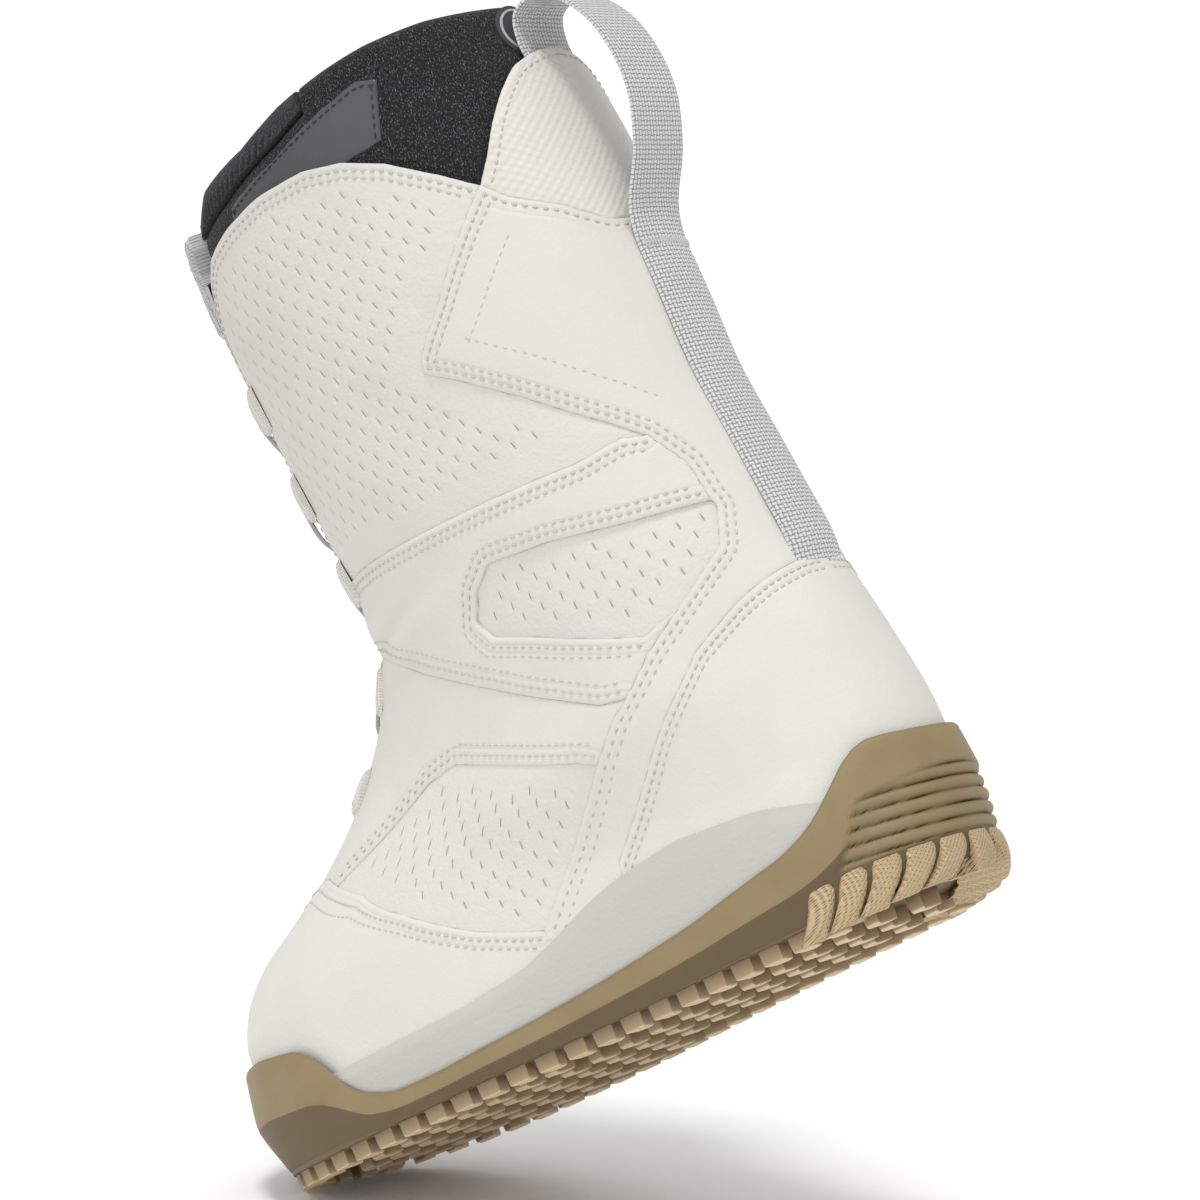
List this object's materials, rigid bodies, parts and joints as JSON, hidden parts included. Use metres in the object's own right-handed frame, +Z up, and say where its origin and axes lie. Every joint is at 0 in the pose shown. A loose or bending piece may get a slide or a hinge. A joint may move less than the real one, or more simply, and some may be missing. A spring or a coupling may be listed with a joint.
{
  "type": "snowboard boot",
  "caption": "Right snowboard boot with a panelled shell, gum cup sole, lace reel, hinged tongue, rear pull loop and a removable padded liner.",
  "frame": {"origin": "on the floor under the middle of the sole, on the bottom face of the tread block at its centre", "axes": "+X towards the toe, +Y towards the inner (medial) side, +Z up"},
  "size_m": [0.2918, 0.1282, 0.321],
  "materials": {
    "gum_rubber": "matte moulded gum rubber",
    "rand_foam": "fine diagonal moulded texture",
    "shell_smooth": "smooth coated synthetic leather",
    "shell_textured": "embossed with short staggered slits",
    "lining_textile": "woven textile",
    "board_fibre": "pressed fibre board",
    "shank_composite": "glass-filled nylon",
    "webbing": "woven polyester webbing",
    "lace_cord": "smooth braided cord",
    "guide_textile": "coated webbing guide",
    "liner_fabric": "brushed stretch fabric over foam",
    "liner_knit": "ribbed knit",
    "liner_gloss": "glossy coated patch",
    "foam": "moulded foam",
    "mesh_insert": "glittering coarse mesh",
    "reel_plastic": "fine moulded texture",
    "reel_rubber": "soft ridged overmould",
    "reel_inner": "acetal",
    "steel": "satin"
  },
  "bodies": {
    "shell": {"outsole": "gum_rubber", "midsole": "rand_foam", "shank": "shank_composite", "lasting_board": "board_fibre", "shell_lining": "lining_textile", "rear_spoiler": "shell_textured", "heel_counter": "shell_smooth", "rear_panel": "shell_smooth", "vamp": "shell_smooth", "cuff_panel_medial": "shell_textured", "cuff_panel_lateral": "shell_textured", "ankle_window_medial": "shell_textured", "ankle_window_lateral": "shell_textured", "ankle_overlay_medial": "shell_smooth", "ankle_overlay_lateral": "shell_smooth", "forefoot_panel_medial": "shell_textured", "forefoot_panel_lateral": "shell_textured", "instep_panel_medial": "shell_smooth", "instep_panel_lateral": "shell_smooth", "rear_webbing": "webbing", "liner_boot": "liner_fabric", "liner_collar_medial": "liner_knit", "liner_collar_lateral": "liner_knit", "liner_patch_medial": "liner_gloss", "liner_patch_lateral": "liner_gloss", "liner_badge": "liner_gloss", "liner_sole": "foam", "footbed": "foam", "lace": "lace_cord", "lace_guide_medial_1": "guide_textile", "lace_guide_medial_2": "guide_textile", "lace_guide_medial_3": "guide_textile", "lace_guide_medial_4": "guide_textile", "lace_guide_medial_5": "guide_textile", "lace_guide_lateral_1": "guide_textile", "lace_guide_lateral_2": "guide_textile", "lace_guide_lateral_3": "guide_textile", "lace_guide_lateral_4": "guide_textile", "lace_guide_lateral_5": "guide_textile", "reel_base": "reel_plastic", "reel_housing": "reel_plastic", "reel_screw": "steel"},
    "tongue": {"tongue_pad": "foam", "tongue_facing": "shell_textured", "tongue_trim": "webbing", "tongue_mesh": "mesh_insert"},
    "inner_tongue": {"liner_tongue": "liner_fabric"},
    "spool": {"reel_spool": "reel_inner", "reel_lace_wrap": "lace_cord"},
    "knob": {"reel_knob": "reel_plastic", "reel_grip": "reel_rubber", "reel_pawl_disc": "steel"}
  },
  "joints": [
    {"name": "tongue_open", "type": "hinge", "parent": "shell", "child": "tongue", "pos_m": [0.09976, 0, 0.0895], "axis": [0, 1, 0], "range_deg": [0, 20], "deforming": ["lace"]},
    {"name": "liner_tongue_open", "type": "hinge", "parent": "shell", "child": "inner_tongue", "pos_m": [0.09976, 0, 0.0895], "axis": [0, 1, 0], "range_deg": [0, 20]},
    {"name": "reel_spin", "type": "hinge", "parent": "shell", "child": "spool", "pos_m": [-0.04821, -0.05373, 0.222], "axis": [-0.0748, -0.9959, -0.0502], "continuous": true},
    {"name": "knob_pull", "type": "slide", "parent": "spool", "child": "knob", "axis": [-0.0748, -0.9959, -0.0502], "range_m": [0, 0.003]}
  ],
  "couplings": [
    {"joint": "liner_tongue_open", "follows": "tongue_open", "ratio": 1}
  ]
}
